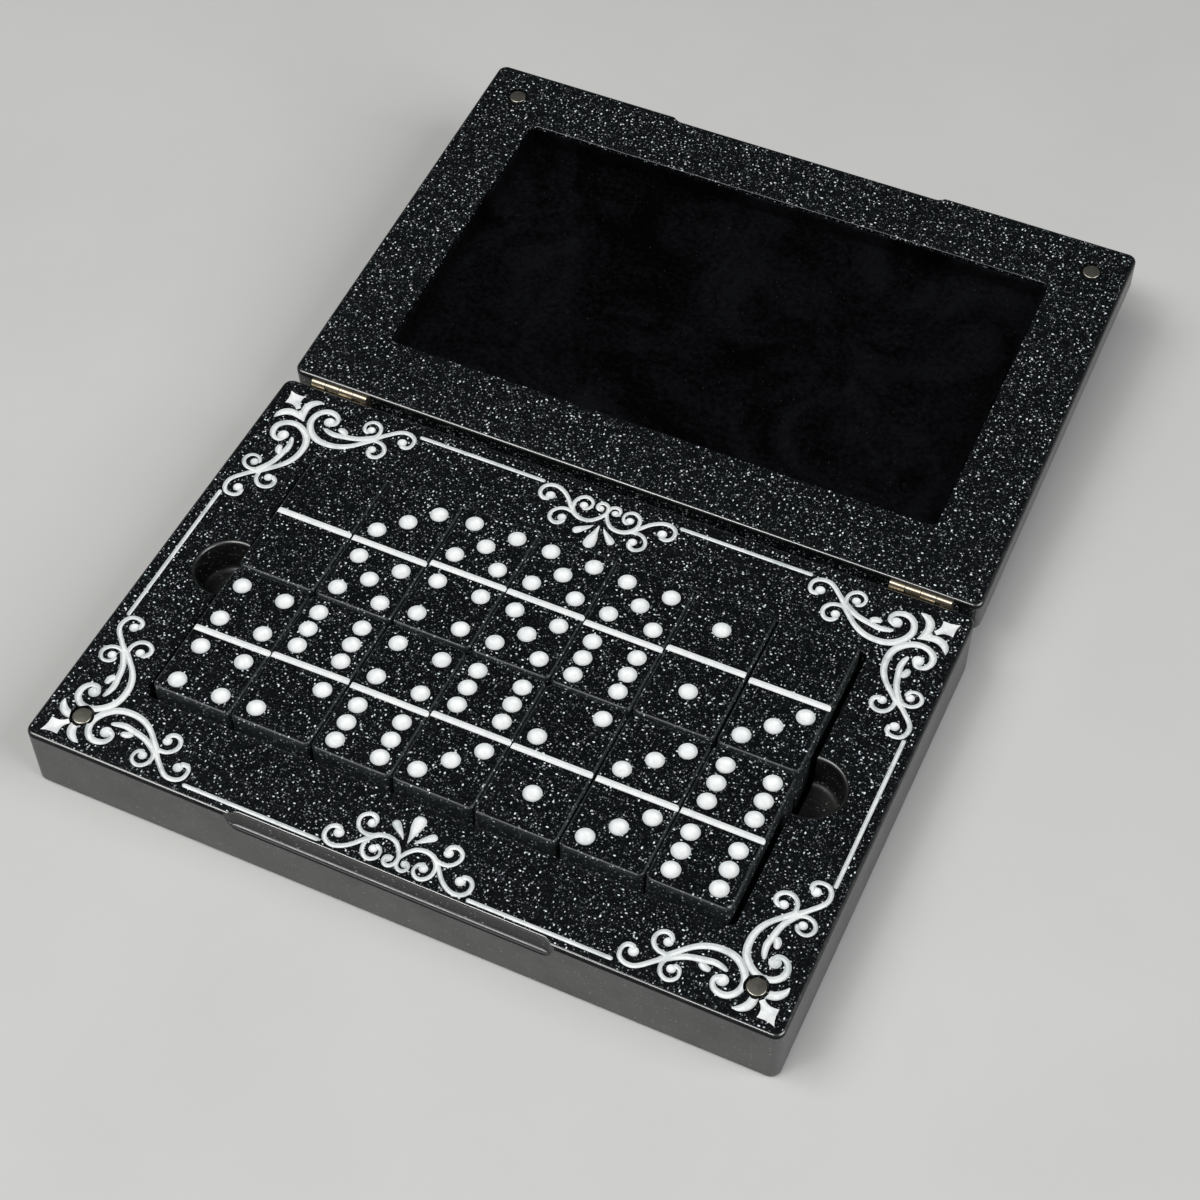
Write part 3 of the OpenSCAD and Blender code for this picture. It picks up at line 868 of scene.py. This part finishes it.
def make_tray():
    """The tray, with its underside at height 0 and its middle at the origin."""
    cutters = scrollwork(BASE_H)
    depth = BASE_H - FLOOR_T
    cutters.append(recess_cutter("pocket", POCKET_W, POCKET_D, depth, POCKET_R, BASE_H, [RESIN]))
    for side in (-1, 1):
        cutters.append(
            round_cutter(
                "scoop", side * SCOOP_X, 0, SCOOP_R, SCOOP_DEPTH, SCOOP_FLARE, BASE_H, [SMOOTH],
                SCOOP_COVE,
            )
        )
        surface(cutters[-1], LIP, is_scoop_mouth)
        cutters.append(magnet_hole(side, BASE_H))
    return cast_half("cast_tray", BASE_H, BASE_H, cutters)


def make_lid():
    """The lid, drawn with its rim up at height 0 and its middle at the origin."""
    cutters = [recess_cutter("recess", RECESS_W, RECESS_D, RECESS_DEPTH, RECESS_R, 0.0, [RESIN])]
    cutters += [magnet_hole(side, 0.0) for side in (-1, 1)]
    return cast_half("cast_lid", LID_H, 0.0, cutters)


def lid_place():
    """From the lid's own drawing to where the open lid lies."""
    to_axis = Matrix.Translation((0, (-HINGE_OFFSET - BOX_D / 2) * MM, PARTING_GAP / 2 * MM))
    turn_over = Matrix.Scale(-1, 4, (0, 0, 1)) @ Matrix.Scale(-1, 4, (1, 0, 0))
    swing = Matrix.Rotation(math.radians(-OPEN_ANGLE), 4, "X")
    axis = Matrix.Translation(
        (0, (BOX_D / 2 + HINGE_OFFSET) * MM, (BASE_H + PARTING_GAP / 2) * MM)
    )
    return axis @ swing @ to_axis @ turn_over


def make_magnets():
    """The four disc magnets, each named after the side that it lies on."""
    for half, side in itertools.product(("base", "lid"), (-1, 1)):
        top = (BASE_H if half == "base" else 0.0) - MAGNET_SUNK
        rings = [
            (circle(MAGNET_R, inset), top - MAGNET_T + height)
            for inset, height in slab_profile(MAGNET_T, MAGNET_BEVEL, MAGNET_BEVEL)
        ]
        magnet = loft("disc", rings, [NICKEL], (side * MAGNET_X, -MAGNET_Y))
        if half == "lid":
            magnet.data.transform(lid_place())
        hand = "left" if magnet.data.vertices[0].co.x < 0 else "right"
        magnet.name = f"{half}_disc_magnet_{hand}"
        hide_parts(f"{half}_magnet_{hand}")
        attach(magnet, half)
        smooth(magnet)


# Linings

# The size of a ripple, the rings over a lining's floor, and half the width of the last one
RIPPLE = 16.0
FLOOR_STEPS = 14
LAST_RING = 0.6
# The lid's lining: its edge as (inset, height from its top), the radius that its walls meet its
# floor with, how far the floor sags, its ripples' height and seed, and its steps along X and Y
LID_VELVET_EDGE = ((0.0, -0.3), (0.15, -0.05), (0.45, 0.0), (0.8, -0.12), (LINING_T, -0.5))
LID_FOLD = 1.3
LID_SAG, LID_RIPPLE, LID_SEED = 0.15, 0.22, 3.7
LID_STEPS = (44, 26)
# The tray's lining, in the same terms, and the inset that its floor starts at
TRAY_VELVET_EDGE = ((0.0, -0.5), (0.12, -0.2), (0.5, -0.06))
TRAY_SAG, TRAY_RIPPLE, TRAY_SEED = 0.06, 0.05, 9.1
TRAY_STEPS = (40, 24)
TRAY_FLOOR_INSET = 1.0


def floor_rings(w, d, r, start, low, amount, seed, steps):
    """Rings that run in over a lining's floor, gently uneven."""
    rings = []
    most = min(w, d) / 2 - LAST_RING
    for k in range(FLOOR_STEPS + 1):
        inset = start + (most - start) * k / FLOOR_STEPS
        fade = min(1.0, k / 2)
        ring = []
        for x, y in outline(w, d, r, inset, *steps):
            ripple = amount * noise.noise(Vector((x / RIPPLE, y / RIPPLE, seed)))
            ring.append((x, y, low + fade * ripple))
        rings.append(ring)
    return rings


def cloth_shell(name, rings, mat):
    """A closed thin piece of velvet through rings of (x, y, z), flat underneath."""
    bm = bmesh.new()
    rows = [[bm.verts.new(Vector(p) * MM) for p in ring] for ring in rings]
    return smooth(close_rows(name, bm, rows, [mat]), CLOTH_SHARP)


def make_lid_velvet():
    """The lid's lining, up the walls and over the floor of the recess, drawn as the lid is."""
    w = RECESS_W - 2 * LINING_GAP
    d = RECESS_D - 2 * LINING_GAP
    r = RECESS_R - LINING_GAP
    top, floor = -LINING_DROP, LINING_T - RECESS_DEPTH
    pairs = [(0.0, -RECESS_DEPTH)]
    pairs += [(inset, top + height) for inset, height in LID_VELVET_EDGE]
    for a in quarter()[:-1]:
        inset = LINING_T + LID_FOLD * (1 - math.cos(a))
        pairs.append((inset, floor + LID_FOLD * (1 - math.sin(a))))
    rings = [[(x, y, z) for x, y in outline(w, d, r, inset, *LID_STEPS)] for inset, z in pairs]
    start = LINING_T + LID_FOLD
    rings += floor_rings(w, d, r, start, floor - LID_SAG, LID_RIPPLE, LID_SEED, LID_STEPS)
    return cloth_shell("lid_velvet", rings, VELVET)


def make_tray_velvet():
    """The lining on the pocket's floor."""
    w = POCKET_W - 2 * LINING_GAP
    d = POCKET_D - 2 * LINING_GAP
    r = POCKET_R - LINING_GAP
    top = FLOOR_T + LINING_T
    pairs = [(0.0, FLOOR_T)]
    pairs += [(inset, top + height) for inset, height in TRAY_VELVET_EDGE]
    rings = [[(x, y, z) for x, y in outline(w, d, r, inset, *TRAY_STEPS)] for inset, z in pairs]
    start = TRAY_FLOOR_INSET
    rings += floor_rings(w, d, r, start, top - TRAY_SAG, TRAY_RIPPLE, TRAY_SEED, TRAY_STEPS)
    return cloth_shell("tray_velvet", rings, VELVET)


# Dominoes

# Where the pips of a half lie, in steps from its middle, for none up to six
PIP_PLAN = (
    (),
    ((0, 0),),
    ((-1, -1), (1, 1)),
    ((-1, -1), (0, 0), (1, 1)),
    ((-1, -1), (1, -1), (-1, 1), (1, 1)),
    ((-1, -1), (1, -1), (0, 0), (-1, 1), (1, 1)),
    ((-1, -1), (1, -1), (-1, 0), (1, 0), (-1, 1), (1, 1)),
)
# The bottom layer and the top one, each with its front row first, left to right as they lie:
# (half towards the hinges, half towards the front)
LAYERS = (
    (
        ((2, 5), (0, 2), (4, 1), (3, 4), (6, 1), (0, 5), (3, 2)),
        ((0, 1), (2, 4), (3, 1), (0, 6), (2, 2), (5, 1), (0, 4)),
    ),
    (
        ((4, 4), (6, 2), (4, 6), (6, 3), (2, 1), (3, 3), (6, 6)),
        ((0, 0), (3, 5), (5, 4), (5, 5), (5, 6), (1, 1), (0, 3)),
    ),
)
# How each domino of the top layer lies off its place: its own shift (x, y), and its artwork's
# (x, y) in millimetres and turn in degrees
LIE = {
    (0, 0): (0.0, -0.15, 0.0, -0.5, -0.3), (3, 5): (0.0, -0.25, 0.05, -0.65, -0.4),
    (4, 5): (0.0, 0.15, 0.05, 0.2, 0.0), (5, 5): (-0.1, 0.1, 0.0, 0.05, -0.1),
    (5, 6): (-0.2, -0.2, -0.1, -0.65, -0.15), (1, 1): (-0.3, 0.3, -0.4, 0.6, -0.1),
    (0, 3): (0.1, 0.2, 0.1, -0.2, 0.2), (4, 4): (0.1, -0.2, 0.0, -0.55, 0.65),
    (2, 6): (-0.05, -0.1, -0.1, 0.1, 0.85), (4, 6): (0.05, 0.1, 0.1, -0.5, -0.2),
    (3, 6): (-0.05, 0.1, 0.0, 0.35, 0.0), (1, 2): (-0.15, -0.1, -0.1, 0.15, 0.1),
    (3, 3): (0.1, 0.0, 0.2, 0.0, 0.1), (6, 6): (0.1, 0.2, 0.1, -0.1, -0.2),
}
IN_PLACE = (0.0,) * 5
# How far from a domino's side the bar's paint stops, and the bar's floor as a share of its width
BAR_MARGIN, BAR_FLOOR = 0.12, 0.5


def bar_cutter(top):
    """The painted groove across a domino's middle; the paint stops just short of the edges."""
    half = BAR_W / 2
    section = (
        (-half, PAINT_CUT), (-half, 0.0), (-half * BAR_FLOOR, -BAR_DEPTH),
        (half * BAR_FLOOR, -BAR_DEPTH), (half, 0.0), (half, PAINT_CUT),
    )
    stop, run = TILE_W / 2 - BAR_MARGIN, TILE_W / 2 + CUT
    bm = bmesh.new()
    rows = [
        [bm.verts.new(Vector((x, y, top + z)) * MM) for y, z in section]
        for x in (-run, -stop, stop, run)
    ]
    mats = [TILE_RESIN, BAR_PAINT]
    return close_rows("bar", bm, rows, mats, lambda row, column: int(row == 1))


def is_tile_side(polygon):
    """Whether a face of a domino is one of its sides or their rounded edges."""
    x, y = abs(polygon.center.x) / MM, abs(polygon.center.y) / MM
    outside = x > TILE_W / 2 - TILE_BEVEL or y > TILE_L / 2 - TILE_BEVEL
    return outside and abs(polygon.normal.z) < LEVEL


def as_drawn(x, y):
    """Leaves a drawing in its place."""
    return x, y


def make_domino(name, halves, middle, art):
    """A domino with the middle of its underside at middle; art moves its pips and bar."""
    tile = slab(name, TILE_W, TILE_L, TILE_T, TILE_R, TILE_BEVEL, TILE_BEVEL, [TILE_RESIN])
    cutters = [bar_cutter(TILE_T)]
    for sign, count in zip((1, -1), halves):
        for px, py in PIP_PLAN[count]:
            x, y = px * PIP_STEP_X, sign * PIP_MIDDLE + py * PIP_STEP_Y
            cutters.append(
                dimple("pip", x, y, PIP_R, PIP_DEPTH, as_drawn, TILE_T, PAINT, bowl=PIP_BOWL)
            )
    for cutter in cutters:
        cutter.data.transform(art)
    surface(tile, TILE_SIDE, is_tile_side)
    carve(tile, cutters)
    tile.data.transform(Matrix.Translation(Vector(middle) * MM))
    return smooth(tile)


def make_dominoes():
    pitch_x, pitch_y = TILE_W + TILE_GAP, TILE_L + TILE_GAP
    for layer, rows in enumerate(LAYERS):
        for row, tiles in enumerate(rows):
            for column, halves in enumerate(tiles):
                low, high = sorted(halves)
                shift_x, shift_y, art_x, art_y, turn = LIE.get((low, high), IN_PLACE)
                x = (column - (len(tiles) - 1) / 2) * pitch_x + shift_x
                y = (row - (len(rows) - 1) / 2) * pitch_y + shift_y
                z = FLOOR_T + LINING_T + layer * TILE_T
                art = Matrix.Translation((art_x * MM, art_y * MM, 0))
                art @= Matrix.Rotation(math.radians(turn), 4, "Z")
                piece = make_domino(f"tile_{low}_{high}", halves, (x, y, z), art)
                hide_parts(f"domino_{low}_{high}")
                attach(piece, f"domino_{low}_{high}")


# Camera, light and floor

# The sensor and the lens in millimetres, the rest in metres and degrees
SENSOR_W, LENS = 36.0, 71.526
CLIP_START, CLIP_END = 0.01, 20.0
CAMERA_PLACE = (0.19308, -0.35588, 0.56810)
CAMERA_TURN = (38.30305, -0.00481, 24.81018)
# Name, place, size, watts and colour of each lamp, and what they all point at
LAMPS = (
    ("key", (-1.0, -0.6, 1.95), (1.3, 1.1), 22.0, (1.0, 0.995, 0.98)),
    ("front", (-0.25, -1.1, 1.95), (1.1, 0.5), 19.0, (1.0, 1.0, 1.0)),
    ("fill", (1.9, -0.1, 1.5), (1.6, 1.6), 34.0, (0.98, 0.99, 1.0)),
)
LIT = (0.0, 0.06, 0.0)
SKY, SKY_STRENGTH = (0.93, 0.96, 1.0, 1.0), 0.045
HALF_FLOOR = 3.0


def add_camera():
    data = bpy.data.cameras.new("camera")
    data.sensor_width = SENSOR_W
    data.lens = LENS
    data.clip_start, data.clip_end = CLIP_START, CLIP_END
    camera = bpy.data.objects.new("camera", data)
    camera.location = CAMERA_PLACE
    camera.rotation_euler = [math.radians(turn) for turn in CAMERA_TURN]
    bpy.context.scene.collection.objects.link(camera)
    bpy.context.scene.camera = camera


def add_lamp(name, place, size, power, colour):
    data = bpy.data.lights.new(name, "AREA")
    data.shape = "RECTANGLE"
    data.size, data.size_y = size
    data.energy = power
    data.color = colour
    light = bpy.data.objects.new(name, data)
    light.location = place
    aim = Vector(LIT) - Vector(place)
    light.rotation_euler = aim.to_track_quat("-Z", "Y").to_euler()
    bpy.context.scene.collection.objects.link(light)


def add_floor():
    mat, tree, shader = new_material("pale_floor")
    space = object_space(tree)
    cloud = noise_value(tree, space, 9.0, 5.0, 0.6)
    base = ramp(tree, cloud, (0.3, FLOOR_DARK), (0.7, FLOOR_LIGHT))
    tree.links.new(base, shader.inputs["Base Color"])
    shader.inputs["Roughness"].default_value = 0.75
    bm = bmesh.new()
    bmesh.ops.create_grid(bm, x_segments=1, y_segments=1, size=HALF_FLOOR)
    floor = finish_mesh("floor", bm, [mat])


def add_world():
    world = bpy.data.worlds.new("studio")
    world.use_nodes = True
    back = world.node_tree.nodes["Background"]
    back.inputs["Color"].default_value = SKY
    back.inputs["Strength"].default_value = SKY_STRENGTH
    bpy.context.scene.world = world


# The whole scene

add_camera()
bpy.context.scene.view_settings.view_transform = "Standard"
add_world()
add_floor()
for lamp in LAMPS:
    add_lamp(*lamp)

tray = make_tray()
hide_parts("base_tray")
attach(tray, "base")

lid = make_lid()
lid.data.transform(lid_place())
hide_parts("lid_shell")
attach(lid, "lid")

lid_velvet = make_lid_velvet()
lid_velvet.data.transform(lid_place())
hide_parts("lid_lining")
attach(lid_velvet, "lid")

tray_velvet = make_tray_velvet()
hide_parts("base_lining")
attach(tray_velvet, "base")

make_dominoes()

make_magnets()

for node_name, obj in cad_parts.items():
    if "magnet" in node_name:
        finish = NICKEL
    elif node_name.startswith("hinge") or node_name.endswith("screws"):
        finish = BRASS
    else:
        continue
    for material_slot in obj.material_slots:
        material_slot.material = finish
